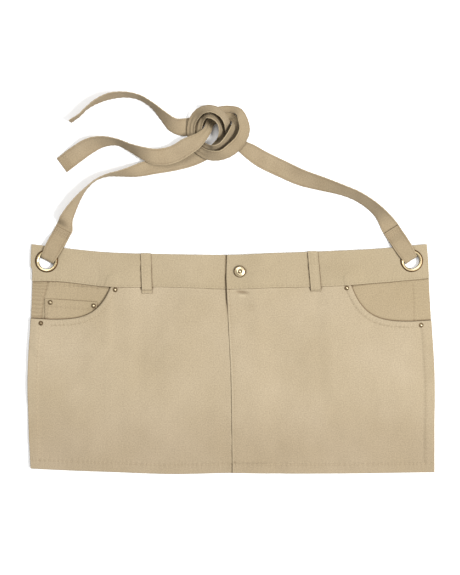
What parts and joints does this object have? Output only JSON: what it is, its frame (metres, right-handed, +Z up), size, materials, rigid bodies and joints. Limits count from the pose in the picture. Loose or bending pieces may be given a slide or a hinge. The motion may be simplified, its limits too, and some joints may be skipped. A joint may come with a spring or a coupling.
{
  "type": "waist apron",
  "caption": "Short flat waist apron of twill with a jeans-style waistband, front pockets, belt loops, tack button and two eyelets whose straps are knotted together.",
  "frame": {"origin": "on the floor under the middle of the apron and its straps as it lies flat, front up", "axes": "+X along the waistband to the viewer's right, +Y from the hem towards the waistband and straps, +Z up out of the front"},
  "size_m": [0.6096, 0.5704, 0.0345],
  "materials": {
    "twill": "matte",
    "brass": "satin"
  },
  "bodies": {
    "root": {"waistband_left": "twill", "waistband_right": "twill", "front_panel_left": "twill", "front_panel_right": "twill", "pocket_back_left": "twill", "pocket_back_right": "twill", "coin_pocket": "twill", "belt_loop_left": "twill", "belt_loop_right": "twill", "strap_left": "twill", "strap_right": "twill", "eyelet_left": "brass", "eyelet_right": "brass", "tack_button": "brass", "rivet_left_inner": "brass", "rivet_left_outer": "brass", "rivet_right_inner": "brass", "rivet_right_outer": "brass", "rivet_coin_outer": "brass", "rivet_coin_inner": "brass"}
  },
  "joints": []
}
